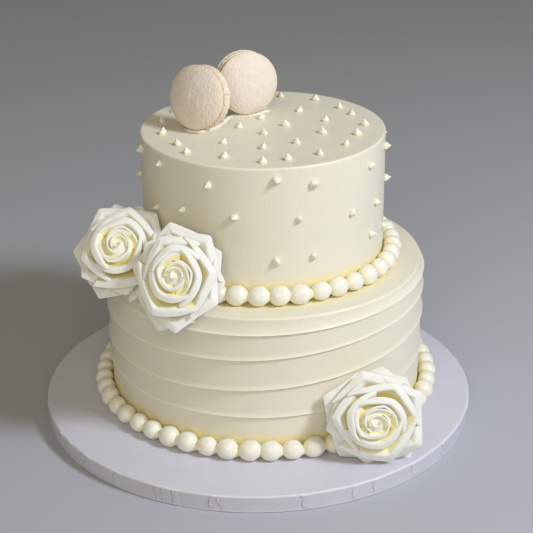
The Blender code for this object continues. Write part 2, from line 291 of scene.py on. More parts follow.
def grain_group():
    """Height of a fine grain over a coarser one, for a Bump node."""
    if "Cake Grain" in bpy.data.node_groups:
        return bpy.data.node_groups["Cake Grain"]
    inputs = {"Coarse Scale": 120.0, "Fine Scale": 900.0, "Fine Share": 0.4, "Stretch": (1.0, 1.0, 1.0)}
    group, given, result = new_group("Cake Grain", inputs, "Height")
    mix = group.nodes.new("ShaderNodeMix")
    group.links.new(given.outputs["Fine Share"], mix.inputs["Factor"])
    for layer, scale in (("A", "Coarse Scale"), ("B", "Fine Scale")):
        group.links.new(stretched_noise(group, given, scale, detail=3.0), mix.inputs[layer])
    group.links.new(mix.outputs["Result"], result.inputs["Height"])
    return group


def feed(material, source, socket):
    """Links an output to a socket, or sets the socket to a number or a colour."""
    if isinstance(source, bpy.types.NodeSocket):
        material.node_tree.links.new(source, socket)
    elif isinstance(source, tuple):
        socket.default_value = (*source, 1.0)
    else:
        socket.default_value = source


def add_group(material, group, **values):
    """Places a shader group in the material, sets its sockets and gives its output."""
    node = material.node_tree.nodes.new("ShaderNodeGroup")
    node.node_tree = group
    for label, value in values.items():
        node.inputs[label.replace("_", " ")].default_value = value
    return node.outputs[0]


def mottled(material, **values):
    return add_group(material, mottle_group(), **values)


def colour_mix(material, share, first, second, blend="MIX"):
    """A colour between two, by a share from 0 to 1. Each of the three is a value or an output."""
    mix = material.node_tree.nodes.new("ShaderNodeMix")
    mix.data_type = "RGBA"
    mix.blend_type = blend
    feed(material, share, mix.inputs["Factor"])
    colours = [socket for socket in mix.inputs if socket.type == "RGBA"]
    feed(material, first, colours[0])
    feed(material, second, colours[1])
    return next(socket for socket in mix.outputs if socket.type == "RGBA")


def value_range(material, source, **ends):
    """An output spread between other ends, such as To_Min and To_Max."""
    node = material.node_tree.nodes.new("ShaderNodeMapRange")
    for label, value in ends.items():
        node.inputs[label.replace("_", " ")].default_value = value
    feed(material, source, node.inputs["Value"])
    return node.outputs["Result"]


def stored(material, name):
    """The output of a value that is stored in the mesh's points."""
    node = material.node_tree.nodes.new("ShaderNodeAttribute")
    node.attribute_name = name
    return node.outputs["Fac"]


def principled(material):
    return material.node_tree.nodes["Principled BSDF"]


def new_material(name):
    material = bpy.data.materials.new(name)
    material.use_nodes = True
    return material


def darker(colour, share):
    return tuple(channel * share for channel in colour)


def let_light_in(material, weight, reach):
    """Lets light scatter a little way through the surface, warm light furthest."""
    shader = principled(material)
    shader.inputs["Subsurface Weight"].default_value = weight
    shader.inputs["Subsurface Radius"].default_value = (1.0, 0.8, 0.45)
    shader.inputs["Subsurface Scale"].default_value = reach


def dress_surface(material, colour, roughness, bump, **grain):
    """Gives the shader its colour and roughness, and a grain that stands that high."""
    shader = principled(material)
    feed(material, colour, shader.inputs["Base Color"])
    feed(material, roughness, shader.inputs["Roughness"])
    relief = material.node_tree.nodes.new("ShaderNodeBump")
    relief.inputs["Distance"].default_value = bump
    relief.inputs["Strength"].default_value = 1.0
    feed(material, add_group(material, grain_group(), **grain), relief.inputs["Height"])
    feed(material, relief.outputs["Normal"], shader.inputs["Normal"])


def smooth_buttercream(material):
    """Satin buttercream with faint patches, scraper streaks, painted highlights on the ridge lips and painted
    warm bounce light where icing meets.
    """
    given = bpy.context.scene.cake_icing
    patches = mottled(material, Scale=22.0, Low=0.3, High=0.7)
    body = colour_mix(material, patches, tuple(given.colour), darker(given.colour, 0.965))
    # Painted warm bounce light: yellow where pieces of icing meet
    warm = colour_mix(material, stored(material, "glow"), body, tuple(given.glow))
    # Painted highlight: near white along each ridge's lip
    lips = colour_mix(material, stored(material, "pale"), warm, linear(255, 250, 234))
    streaks = mottled(material, Scale=60.0, Stretch=(1.0, 1.0, 0.25))
    satin = value_range(material, streaks, To_Min=0.36, To_Max=0.5)
    grain = {"Coarse_Scale": 55.0, "Fine_Scale": 420.0, "Fine_Share": 0.3, "Stretch": (1.0, 1.0, 0.35)}
    dress_surface(material, lips, satin, 0.35 * MM, **grain)
    let_light_in(material, weight=0.2, reach=3.0 * MM)


def piped_buttercream(material):
    """Glossy fresh buttercream, with painted warm bounce light where it meets other icing."""
    given = bpy.context.scene.cake_piping
    patches = mottled(material, Scale=160.0)
    body = colour_mix(material, patches, tuple(given.colour), darker(given.colour, 0.97))
    # Painted warm bounce light where piping meets other icing
    warm = colour_mix(material, stored(material, "glow"), body, tuple(bpy.context.scene.cake_icing.glow))
    gloss = value_range(material, patches, To_Min=0.2, To_Max=0.32)
    dress_surface(material, warm, gloss, 0.25 * MM, Coarse_Scale=260.0, Fine_Scale=1400.0, Fine_Share=0.25)
    let_light_in(material, weight=0.25, reach=3.0 * MM)


def baked_shell(material):
    """Matt baked almond shell with fine wrinkles, painted shade in warm tan towards its rim, and a crumbly
    foot.
    """
    given = bpy.context.scene.cake_macarons
    patches = mottled(material, Scale=620.0, Stretch=(1.0, 1.0, 0.5), Low=0.36, High=0.66)
    body = colour_mix(material, patches, tuple(given.shell), darker(given.shell, 0.93))
    # Painted shade: a warm tan towards the shell's rim
    toasted = colour_mix(material, stored(material, "toast"), body, linear(238, 216, 176))
    crumbs = mottled(material, Scale=900.0, Low=0.54, High=0.64)
    baked = colour_mix(material, crumbs, linear(246, 235, 221), linear(188, 148, 96))
    foot = colour_mix(material, stored(material, "foot"), toasted, baked)
    grain = {"Coarse_Scale": 560.0, "Fine_Scale": 1500.0, "Fine_Share": 0.35, "Stretch": (1.0, 1.0, 0.4)}
    dress_surface(material, foot, 0.62, 0.9 * MM, **grain)


def macaron_cream(material):
    """Soft cream with darker patches."""
    given = bpy.context.scene.cake_macarons
    patches = mottled(material, Scale=300.0)
    body = colour_mix(material, patches, tuple(given.filling), darker(given.filling, 0.8))
    dress_surface(material, body, 0.5, 0.4 * MM, Coarse_Scale=300.0, Fine_Scale=900.0)


def foam_sheet(material):
    """Soft matt foam sheet: white lips, cream faces, painted warm bounce light in yellow deep towards the
    heart, and a very fine grain.
    """
    given = bpy.context.scene.cake_roses
    depth = stored(material, "depth")
    outer = value_range(material, depth, From_Min=0.05, From_Max=0.3)
    # Painted warm bounce light: yellow deep between the petals and in the heart
    painted_bounce_share = value_range(material, depth, From_Min=0.36, From_Max=0.85)
    face = colour_mix(material, outer, tuple(given.lip), linear(252, 245, 200))
    body = colour_mix(material, painted_bounce_share, face, tuple(given.heart))
    veil = colour_mix(material, mottled(material, Scale=120.0), (1.0, 1.0, 1.0), (0.96, 0.96, 0.95))
    veiled = colour_mix(material, 1.0, body, veil, blend="MULTIPLY")
    dress_surface(material, veiled, 0.6, 0.12 * MM, Coarse_Scale=240.0, Fine_Scale=1800.0, Fine_Share=0.5)
    principled(material).inputs["Specular IOR Level"].default_value = 0.25
    let_light_in(material, weight=0.1, reach=1.0 * MM)


def calyx_plastic(material):
    """Satin green with darker patches."""
    body = colour_mix(material, mottled(material, Scale=200.0), linear(72, 150, 52), linear(44, 112, 36))
    dress_surface(material, body, 0.42, 0.2 * MM, Coarse_Scale=500.0, Fine_Scale=1500.0)


def foil_paper(material):
    """Foil-backed paper with a faint satin gloss, paler along its rounded edges, painted shade on its side,
    painted highlights on the crease ridges and painted shade in the grooves beside them.
    """
    given = bpy.context.scene.cake_board
    patches = mottled(material, Scale=35.0)
    body = colour_mix(material, patches, tuple(given.colour), darker(given.colour, 0.97))
    # Painted shade: the board's whole side is darker
    side = colour_mix(material, stored(material, "side"), body, darker(given.colour, 0.88))
    # Painted shade in the groove beside each crease
    folded = colour_mix(material, stored(material, "shaded"), side, darker(given.colour, 0.5))
    # Paler rounded edges, and painted highlights on the crease ridges
    paled_edges_lit_creases = colour_mix(material, stored(material, "edge"), folded, linear(246, 246, 250))
    satin = value_range(material, patches, To_Min=0.34, To_Max=0.46)
    dress_surface(material, paled_edges_lit_creases, satin, 0.22 * MM, Coarse_Scale=330.0, Fine_Scale=1300.0, Fine_Share=0.45)


# Each finish: the function that gives it its look, and the slot that it fills
FINISHES = {
    "foil_paper": (foil_paper, "board_foil"),
    "smooth_buttercream": (smooth_buttercream, "icing"),
    "piped_buttercream": (piped_buttercream, "border_icing"),
    "baked_shell": (baked_shell, "macaron_shell"),
    "macaron_cream": (macaron_cream, "macaron_filling"),
    "foam_sheet": (foam_sheet, "rose_foam"),
    "calyx_plastic": (calyx_plastic, "calyx_green"),
}


def new_piece(name, points, faces, finish, nodes=(), **values):
    """A smooth mesh piece on the cake's body, with its finish and with values stored in its points."""
    mesh = bpy.data.meshes.new(name)
    mesh.from_pydata([tuple(p) for p in points], [], [tuple(f) for f in faces])
    mesh.update()
    mesh.shade_smooth()
    for label, numbers in values.items():
        layer = mesh.attributes.new(label, "FLOAT", "POINT")
        layer.data.foreach_set("value", np.asarray(numbers, np.float32))
    look, slot = FINISHES[finish]
    material = bpy.data.materials.get(finish)
    if material is None:
        material = new_material(finish)
        look(material)
    mesh.materials.append(material)
    piece = bpy.data.objects.new(name, mesh)
    bpy.context.scene.collection.objects.link(piece)
    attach(piece, BODY)
    if nodes:
        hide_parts(*nodes)
    return piece


def soften_sheet(piece, thickness, offset):
    """Gives a sheet its thickness and rounds it off."""
    thick = piece.modifiers.new("Sheet", "SOLIDIFY")
    thick.thickness = thickness
    thick.offset = offset
    soften = piece.modifiers.new("Soften", "SUBSURF")
    soften.levels = soften.render_levels = 1


class Bunch:
    """Small forms gathered into one piece: their points, faces and one value for each point."""

    def __init__(self):
        self.points, self.faces, self.values = [], [], []

    def add(self, points, faces, values=()):
        start = len(self.points)
        self.faces += [tuple(start + corner for corner in face) for face in faces]
        self.points += list(points)
        self.values += list(values)


def grid_faces(rows, columns, closed=True):
    """Quads over a grid of points that is stored row by row, running round when closed."""
    faces = []
    for row in range(rows - 1):
        for column in range(columns if closed else columns - 1):
            after = (column + 1) % columns
            low, high = row * columns, (row + 1) * columns
            faces.append((low + column, high + column, high + after, low + after))
    return faces


def round_angles(steps):
    return np.linspace(0, 2 * np.pi, steps, endpoint=False)


def turned_body(profiles, axis=(0.0, 0.0)):
    """A closed body turned round Z. It takes one profile of (radius, height) for each step round.

    The profiles run down its outer side, and a point in the middle closes its top and its foot.
    """
    steps, count, _ = profiles.shape
    angles = round_angles(steps)
    radius, height = profiles[..., 0].T, profiles[..., 1].T
    x = axis[0] + radius * np.cos(angles)
    y = axis[1] + radius * np.sin(angles)
    points = list(np.stack([x, y, height], axis=-1).reshape(count * steps, 3))
    points += [(*axis, profiles[:, 0, 1].mean()), (*axis, profiles[:, -1, 1].mean())]
    faces = grid_faces(count, steps)
    last = (count - 1) * steps
    for i in range(steps):
        after = (i + 1) % steps
        faces.append((i, after, len(points) - 2))
        faces.append((last + after, last + i, len(points) - 1))
    return np.array(points), faces


def turned_values(values, caps=(0.0, 0.0)):
    """Values of a turned body's profiles in the order of its points, then those of its two middle points."""
    return np.concatenate([np.asarray(values).T.reshape(-1), caps])


def stacked_profiles(columns, steps):
    """Profiles from columns of (radius, height), each a number or one value for each step round."""
    even = np.zeros(steps)
    return np.stack([np.stack([radius + even, height + even], axis=-1) for radius, height in columns], axis=1)


def rounded_rim(radius, top, rounding, turns):
    """The columns of a rounded rim, from the top's edge round to the side."""
    cuts = np.radians(np.linspace(0, 90, turns))
    return [(radius - rounding * (1 - math.sin(cut)), top - rounding * (1 - math.cos(cut))) for cut in cuts]


def smooth_noise(seed, waves, longest=6):
    """A gentle function of angle and height, the same each run, between about -1 and 1."""
    draw = random.Random(seed)
    terms = []
    for _ in range(waves):
        turns, rise = draw.randint(1, longest), draw.uniform(-60, 60)
        terms.append((turns, rise, draw.uniform(0, 2 * math.pi), draw.uniform(0.5, 1.0)))
    total = 0.6 * sum(size for _, _, _, size in terms)

    def noise(angle, height):
        parts = [size * np.sin(turns * angle + rise * height + phase) for turns, rise, phase, size in terms]
        return sum(parts) / total

    return noise


def polar(radius, degrees, height=0.0):
    angle = math.radians(degrees)
    return np.array((radius * math.cos(angle), radius * math.sin(angle), height))


def aim(turn_left, tip_up):
    """The direction that many degrees to the left of -Y, seen from the front, and up."""
    left, up = math.radians(turn_left), math.radians(tip_up)
    return Vector((-math.sin(left) * math.cos(up), -math.cos(left) * math.cos(up), math.sin(up)))


def facing_frame(centre, facing):
    """The matrix that takes a piece modelled along +Z to its centre, facing that way, with its +Y up."""
    forward = facing.normalized()
    across = Vector((0.0, 0.0, 1.0)).cross(forward).normalized()
    upward = forward.cross(across)
    matrix = Matrix((across, upward, forward)).transposed().to_4x4()
    matrix.translation = centre
    return np.array(matrix)


def placed(points, matrix):
    return points @ matrix[:3, :3].T + matrix[:3, 3]


def ease(values, low, high):
    """Rises smoothly from 0 at low to 1 at high."""
    share = np.clip((values - low) / (high - low), 0.0, 1.0)
    return share * share * (3 - 2 * share)


def shape_lower_tier():
    """The lower tier's profiles from the top's middle to its foot, and each point's share of painted bounce
    light and of painted lip highlight.
    """
    given = bpy.context.scene.cake_icing
    angles = round_angles(given.steps)
    wobble = smooth_noise(seed=21, waves=9)
    rim_round = 1.5 * MM
    edges = []
    for k, (height, rise, wave) in enumerate(RIDGES):
        tremble = 0.25 * MM * smooth_noise(seed=40 + k, waves=4)(angles, 0.0)
        edges.append(height + rise * np.cos(angles) + wave * np.cos(2 * angles) + tremble)
    columns = [(share * LOWER_RIM_RADIUS, LOWER_TOP) for share in LEDGE_SHARES]
    columns += rounded_rim(LOWER_RIM_RADIUS, LOWER_TOP, rim_round, turns=6)
    lips = []
    for k, (start, end) in enumerate(zip([LOWER_TOP - rim_round, *edges], [*edges, LOWER_FOOT])):
        ends_in_lip = k < len(edges)
        start_radius = LOWER_RIM_RADIUS if k == 0 else LOWER_LIP_RADIUS - given.scoop
        end_radius = LOWER_LIP_RADIUS - given.lip_roll if ends_in_lip else LOWER_FOOT_RADIUS
        for share in BAND_SHARES:
            radius = start_radius + (end_radius - start_radius) * share ** 2.0
            roll = given.lip_roll * ease(share, 0.86, 1.0) if ends_in_lip else 0.0
            if ends_in_lip and share > 0.97:
                lips.append(len(columns))
            columns.append((radius + roll, start - (start - end) * share))
        if ends_in_lip:
            lips.append(len(columns))
            columns += [(LOWER_LIP_RADIUS - back * MM, end - down * MM) for back, down in LIP_UNDERSIDE]
    profiles = stacked_profiles(columns, given.steps)
    # Painted highlight on the rows along each ridge's lip
    pale = np.zeros(profiles.shape[:2])
    pale[:, lips] = 1.0
    radius, height = profiles[..., 0], profiles[..., 1]
    shift = given.unevenness * wobble(angles[:, None], height)
    profiles[..., 0] += shift * ease(radius, 0.9 * LOWER_RIM_RADIUS, LOWER_RIM_RADIUS)
    on_top = (height > LOWER_TOP - 0.05 * MM) & (radius < LOWER_RIM_RADIUS - rim_round)
    profiles[..., 1] -= np.where(on_top, 0.15 * MM * (1 + wobble(angles[:, None], radius * 3)), 0.0)
    # Painted warm bounce light near the tier's foot and on its top round the upper bead ring
    near_foot = 1 - ease(height, LOWER_FOOT + 8 * MM, LOWER_FOOT + 20 * MM)
    bead_ring = UPPER_BEADS[0]
    near_beads = on_top * (1 - ease(radius, bead_ring, bead_ring + 9 * MM))
    return profiles, 0.65 * near_foot ** 4 + 0.5 * near_beads ** 1.5, pale


def shape_upper_tier():
    """The upper tier's profiles from the top's middle to its foot, and each point's share of painted bounce
    light and of painted lip highlight.
    """
    given = bpy.context.scene.cake_icing
    angles = round_angles(given.steps)
    wobble, dish = smooth_noise(seed=5, waves=9), smooth_noise(seed=8, waves=7, longest=4)
    rim_round = 1.4 * MM
    columns = [(share * UPPER_RADIUS, UPPER_TOP) for share in np.linspace(0.02, 0.97, 22)]
    columns += rounded_rim(UPPER_RADIUS, UPPER_TOP, rim_round, turns=7)
    below_rim = UPPER_TOP - rim_round - 1.2 * MM
    columns += [(UPPER_RADIUS, height) for height in np.linspace(below_rim, UPPER_FOOT, 46)]
    profiles = stacked_profiles(columns, given.steps)
    radius, height = profiles[..., 0], profiles[..., 1]
    side = ease(radius, 0.93 * UPPER_RADIUS, UPPER_RADIUS)
    shift = given.unevenness * wobble(angles[:, None], height)
    profiles[..., 0] += (shift - 0.1 * MM) * side
    round_to_dent = (angles[:, None] - math.radians(RIM_DENT) + np.pi) % (2 * np.pi) - np.pi
    across, down = round_to_dent * UPPER_RADIUS, UPPER_TOP - 3 * MM - height
    dent = np.exp(-(across / (1.8 * MM)) ** 2) * np.exp(-(down / (4 * MM)) ** 2)
    profiles[..., 0] -= 0.6 * MM * dent * side
    inside = 1 - ease(radius, 0.9 * UPPER_RADIUS, 0.985 * UPPER_RADIUS)
    hollow = 0.12 * MM * (1 + dish(angles[:, None], radius * 2))
    profiles[..., 1] -= hollow * inside * (height > UPPER_TOP - MM)
    # Painted warm bounce light near the tier's foot; the upper tier has no painted lip highlight
    near_foot = 1 - ease(height, UPPER_FOOT + 8 * MM, UPPER_FOOT + 20 * MM)
    return profiles, 0.6 * near_foot ** 4, np.zeros_like(height)


def peak_places():
    """The foot and the direction of each piped peak on the upper tier."""
    draw = random.Random(PEAK_SEED)
    places = []
    for radius, count, first in PEAK_RINGS:
        for i in range(count):
            degrees = first + 360.0 * i / count + draw.uniform(-1, 1) * PEAK_ANGLE_JITTER
            reach = radius + draw.uniform(-1, 1) * PEAK_RING_JITTER
            spot = np.array((*UPPER_AXIS, 0.0)) + polar(reach, degrees, UPPER_TOP)
            if not under_a_macaron(Vector(spot)):
                places.append((spot, Vector((0.0, 0.0, 1.0))))
    for drop, first in PEAK_ROWS:
        for i in range(PEAKS_IN_ROW):
            degrees = first + 360.0 * i / PEAKS_IN_ROW + draw.uniform(-1, 1) * 2 * PEAK_ANGLE_JITTER
            height = UPPER_TOP - drop + draw.uniform(-1, 1) * PEAK_ROW_JITTER
            spot = np.array((*UPPER_AXIS, 0.0)) + polar(UPPER_RADIUS, degrees, height)
            places.append((spot, Vector(polar(1.0, degrees))))
    return places


def under_a_macaron(spot):
    """Whether a peak at this spot on the top would touch a macaron."""
    for centre, turn, tip, _ in MACARONS.values():
        level = aim(turn, tip).to_2d().normalized()
        offset = (spot - centre).to_2d()
        if abs(offset.dot(level)) < SHELL_RADIUS * 0.62 and abs(offset.cross(level)) < SHELL_RADIUS * 0.72:
            return True
    return False


def shape_peak(draw, matrix):
    """One dollop that ends in a drawn-out, slightly bent tip, and the painted warm bounce light at its foot.
    """
    given = bpy.context.scene.cake_piping
    size = draw.uniform(0.86, 1.08)
    outline = [(r * given.peak_radius * size, h * given.peak_height * size) for r, h in PEAK_OUTLINE]
    angles = round_angles(steps=18)
    lobes = 1 + 0.13 * np.sin(2 * angles + draw.uniform(0, 6))
    lobes = lobes + 0.08 * np.sin(5 * angles + draw.uniform(0, 6))
    profiles = np.array([[(r * lobe, h) for r, h in reversed(outline)] for lobe in lobes])
    profiles[:, -1, 1] -= 0.5 * MM
    points, faces = turned_body(profiles)
    points[-2, 2] += 0.1 * given.peak_height
    lean, way = draw.uniform(0.15, 0.6), draw.uniform(0, 2 * math.pi)
    bend = lean * given.peak_radius * np.clip(points[:, 2] / given.peak_height, 0, None) ** 2
    points[:, 0] += bend * math.cos(way)
    points[:, 1] += bend * math.sin(way)
    return placed(points, matrix), faces, 0.5 * np.clip(1 - points[:, 2] / (0.3 * given.peak_height), 0, 1)


def shape_bead(degrees, groove_start, ring, radius, axis, floor, wall, draw):
    """One piped bead of a border, whose tail points round the cake, and the painted warm bounce light at its
    foot, behind it and at its joints.
    """
    given = bpy.context.scene.cake_piping
    rows, steps = 15, 20
    size = draw.uniform(0.94, 1.06)
    tail = given.tail * draw.uniform(0.6, 1.35)
    lift = draw.uniform(-0.06, 0.1)
    round_bead = 2 * np.pi * np.arange(steps) / steps
    groove = 1 + 0.018 * np.sin(6 * round_bead + groove_start)
    grid = []
    for turn in np.linspace(0.0, math.pi, rows):
        along, thick, drop = -math.cos(turn), math.sin(turn) ** 0.84, 0.0
        if along > TAIL_START:
            reach = (along - TAIL_START) / (1 - TAIL_START)
            along += tail * reach ** 2
            thick *= 1 - 0.2 * math.sin(math.pi * reach)
            drop = 0.25 * reach ** 2
        outward = thick * np.cos(round_bead) * groove
        upward = thick * np.sin(round_bead) * groove * (1.0 + 0.04 * size) + lift * max(along, 0.0) - drop
        grid.append(np.stack([BEAD_LENGTH * along + 0 * outward, outward, upward], axis=-1))
    along, outward, upward = np.concatenate(grid).T * radius * size
    upward = upward + radius
    flattened = 0.12 * radius * (1 - np.exp(-np.maximum(upward, 0) / radius))
    upward = np.maximum(upward, flattened)
    reach = np.maximum(ring + outward, wall - 0.6 * MM)
    spread = math.radians(degrees) + along / ring
    # Painted warm bounce light at the bead's foot, behind it against the wall and where it meets its
    # neighbours
    low = np.clip(1 - upward / (0.55 * radius), 0, 1)
    behind = np.clip(-outward / radius - 0.35, 0, 1)
    sides = np.clip(np.abs(along) / radius - 0.82, 0, 1)
    glow = np.clip(0.2 * low ** 2 + 0.6 * behind + 1.5 * sides, 0, 0.7)
    points = [axis[0] + reach * np.cos(spread), axis[1] + reach * np.sin(spread), floor + upward]
    return np.stack(points, axis=-1), grid_faces(rows, steps), glow


def make_border(name, node, axis, floor, wall, sizes, seed):
    """A ring of piped beads as one piece."""
    ring, radius, count = sizes
    draw = random.Random(seed)
    beads = Bunch()
    for i in range(count):
        groove_start = 3 * draw.uniform(0, 2)
        degrees = 360.0 * (i + 0.5 + draw.uniform(-0.04, 0.04)) / count
        beads.add(*shape_bead(degrees, groove_start, ring, radius, axis, floor, wall, draw))
    new_piece(name, beads.points, beads.faces, "piped_buttercream", [node], glow=beads.values)


# The rings of petals, from the curled heart outwards. Each petal is its tip's direction, reach and half
# spread. The rest is the crest's height, the lip's width, half the corner's angle, how pointed the corner
# is, the spiral's share of the reach, the root's radius and height, and the slopes of the cup at its crest
# and of the lip. Lengths are in millimetres and angles in degrees.
Ring = namedtuple("Ring", "petals crest lip corner pointed spiral root root_height steep turned")
ROSE_RINGS = (
    Ring(((200, 3.0, 130), (30, 5.8, 120)), 17.4, 1.0, 60, 0.08, 0.2, 1.6, 13.5, 80, -10),
    Ring(((75, 9.2, 112), (250, 9.6, 108)), 16.4, 1.4, 56, 0.15, 0.26, 4.8, 12.5, 72, -14),
    Ring(((10, 12.6, 96), (165, 13.0, 92)), 15.2, 1.6, 52, 0.2, 0.2, 8.0, 11.0, 64, -14),
    Ring(((0, 18.8, 80), (105, 19.4, 70), (225, 18.6, 86)), 14.8, 4.8, 50, 0.12, 0.1, 10.6, 9.5, 54, -24),
    Ring(((5, 27.4, 74), (119, 26.6, 68), (234, 28.6, 74)), 11.0, 5.4, 40, 0.55, 0.06, 14.0, 4.0, 40, -26),
    Ring(
        ((50, 33.4, 54), (138, 31.0, 52), (205, 30.0, 50), (268, 34.4, 48), (332, 33.6, 52)),
        5.6, 6.2, 33, 0.95, 0.035, 5.0, -8.4, 25, -20,
    ),
    Ring(
        ((28, 33.6, 48), (101, 33.8, 48), (172, 33.0, 48), (252, 36.0, 46), (355, 33.2, 46)),
        0.4, 7.2, 33, 0.95, 0.025, 5.2, -9.2, 15, -12,
    ),
)
HEART = ((1.0, 15.8), (5.0, 15.0), (9.0, 13.0), (11.4, 10.0), (11.6, 4.0), (8.0, -8.0))
PETAL_ACROSS = 19
CUP_STEPS = 8
LIP_STEPS = 7
LIP_ROLL = 0.5


def petal_points(tip, reach, spread, ring, draw):
    """One flared petal with a pointed tip and a rolled lip: its grid of points and how deep each lies."""
    reach *= draw.uniform(0.98, 1.02)
    crest = ring.crest + draw.uniform(-0.4, 0.4)
    side = np.linspace(-1, 1, PETAL_ACROSS)
    side = np.sign(side) * np.abs(side) ** 1.4
    away = np.sqrt((side * spread) ** 2 + 1.0) - 1.0
    half = math.radians(ring.corner)
    outline = 1 - ring.pointed + ring.pointed * math.cos(half) / np.cos(half - np.radians(away))
    outline = outline * (1 - ring.spiral * side)
    taper = 1 - 0.8 * ease(side, 0.45, 1.0) - 0.55 * ease(-side, 0.5, 1.0)
    width = ring.lip * taper * draw.uniform(0.92, 1.08)
    crest_height = crest + 0.8 * side * min(1.0, 10 * ring.spiral) - 0.05 * reach * side ** 2
    crest_height = crest_height - 0.07 * reach * ease(-side, 0.5, 1.0)
    shares = np.linspace(0, 1, LIP_STEPS + 1)[1:]
    bend = np.radians(ring.steep + (ring.turned - ring.steep) * ease(shares, -0.1, LIP_ROLL))
    across = np.cumsum(np.cos(bend)) / LIP_STEPS
    rise = np.cumsum(np.sin(bend)) / LIP_STEPS
    crest_reach = reach * outline - across[-1] * width
    knee = ring.root + 0.22 * (crest_reach - ring.root)
    knee_height = crest_height - (crest_reach - knee) * math.tan(math.radians(ring.steep))
    knee_height = np.maximum(knee_height, ring.root_height + 0.5)
    rows, depths = [], []
    for share in np.linspace(0, 1, CUP_STEPS + 1):
        first, middle, last = (1 - share) ** 2, 2 * share * (1 - share), share ** 2
        radius = first * ring.root + middle * knee + last * crest_reach
        rows.append((radius, first * ring.root_height + middle * knee_height + last * crest_height))
        depths.append(1 - share)
    for step in range(LIP_STEPS):
        rows.append((crest_reach + across[step] * width, crest_height + rise[step] * width))
        depths.append(0.0)
    ripple = draw.uniform(0, 6)
    angle = np.radians(tip + side * spread)
    grid = []
    for row, (radius, height) in enumerate(rows):
        wave = 0.014 * ring.lip * min(row / CUP_STEPS, 1.5) * np.sin(side * 6 + ripple + 0.2 * row)
        grid.append(np.stack([radius * np.cos(angle), radius * np.sin(angle), height + wave], axis=-1))
    # How deep each point lies sets its cream and its painted bounce light
    depth = np.repeat(np.clip(0.06 + np.array(depths) ** 0.8 * 1.3, 0, 1), PETAL_ACROSS)
    depth[-LIP_STEPS * PETAL_ACROSS:] = 0.0
    return np.concatenate(grid) * MM, depth


def rest_on_board(points, sheet):
    """Bends the lowest petals back and down onto the board, and lets none go through it."""
    lowest = 1 - ease(points[:, 2], BOARD_TOP + 1.0 * MM, BOARD_TOP + 14.0 * MM)
    points[:, 1] += 4.0 * MM * lowest
    points[:, 2] -= 3.0 * MM * lowest
    under = np.maximum(BOARD_TOP + 0.5 * sheet - points[:, 2], 0.0)
    points[:, 1] -= 0.9 * under
    points[:, 2] += 0.94 * under


def make_rose(name, seed):
    """A foam rose: rings of petals round a curled heart, as one piece."""
    given = bpy.context.scene.cake_roses
    centre, turn, tip_up, spin, (wide, tall, hang) = ROSES[name]
    draw = random.Random(seed)
    rose = Bunch()
    quads = grid_faces(CUP_STEPS + LIP_STEPS + 1, PETAL_ACROSS, closed=False)
    for ring in ROSE_RINGS:
        for tip, reach, spread in ring.petals:
            petal, depth = petal_points(tip + spin + draw.uniform(-3, 3), reach, spread, ring, draw)
            rose.add(petal, quads, depth)
    heart, faces = turned_body(stacked_profiles([(r * MM, h * MM) for r, h in HEART], steps=16))
    # The heart takes more painted bounce light towards its foot
    rose.add(heart, faces, np.clip(0.95 - 0.062 * heart[:, 2] / MM, 0.0, 0.8))
    points = np.array(rose.points) * (wide, tall, 1.0)
    points[:, 1] *= np.where(points[:, 1] < 0, hang, 1.0)
    points = placed(points, facing_frame(centre, aim(turn, tip_up)))
    rest_on_board(points, given.sheet)
    node = f"rose_{name}"
    piece = new_piece(f"foam_{node}", points, rose.faces, "foam_sheet", [node], depth=rose.values)
    soften_sheet(piece, given.sheet, offset=0.0)


def make_shell(name, node, matrix, rim, seed):
    """A domed shell with a ruffled foot, modelled along +Z from the filling outwards."""
    angles = round_angles(steps=120)
    foot = FILLING_HALF + 0.3 * MM
    cuts = np.radians(np.linspace(88, 4, 22))
    dome = [(math.cos(cut) ** 0.9, math.sin(cut) ** 1.6) for cut in cuts]
    outline = [(SHELL_RADIUS * reach, rim + SHELL_DOME * rise, 0.0) for reach, rise in dome]
    outline += [(share * SHELL_RADIUS, rim - drop * MM, ruffled) for share, drop, ruffled in SHELL_FOOT]
    for share in np.linspace(0.1, 1.0, 6):
        outline.append((0.965 * SHELL_RADIUS, rim - MM + (foot - rim + MM) * share, 0.75))
    coarse, fine = [smooth_noise(seed=seed + k, waves=14, longest=46) for k in range(2)]
    columns = []
    for k, (radius, height, ruffled) in enumerate(outline):
        ruffle = 0.45 * MM * ruffled * (coarse(angles, height * 9) + 0.4 * fine(angles, k * 0.02))
        columns.append((radius + ruffle, height))
    profiles = stacked_profiles(columns, len(angles))
    sag = smooth_noise(seed=seed + 7, waves=5, longest=3)
    profiles[..., 1] += 0.12 * MM * sag(angles[:, None], profiles[..., 0] * 4)
    points, faces = turned_body(profiles)
    ruffled = [[ruffled for _, _, ruffled in outline]] * len(angles)
    crumbly = 0.9 * turned_values(ruffled, caps=(0.0, 1.0))
    # Painted shade, rising towards the shell's rim
    toast = 0.3 * ease(np.linalg.norm(points[:, :2], axis=1), 0.72 * SHELL_RADIUS, 1.02 * SHELL_RADIUS)
    new_piece(name, placed(points, matrix), faces, "baked_shell", [node], foot=crumbly, toast=toast)


def make_filling(name, node, matrix, seed):
    """The disc of cream between two shells, with a slightly uneven edge."""
    angles = round_angles(steps=96)
    bulge = smooth_noise(seed=seed, waves=12, longest=18)
    columns = []
    for share in np.linspace(1, -1, 9):
        radius = FILLING_RADIUS * (1 - 0.03 * share ** 4) + 0.35 * MM * bulge(angles, share * 0.02)
        columns.append((radius, FILLING_HALF * share))
    points, faces = turned_body(stacked_profiles(columns, len(angles)))
    new_piece(name, placed(points, matrix), faces, "macaron_cream", [node])


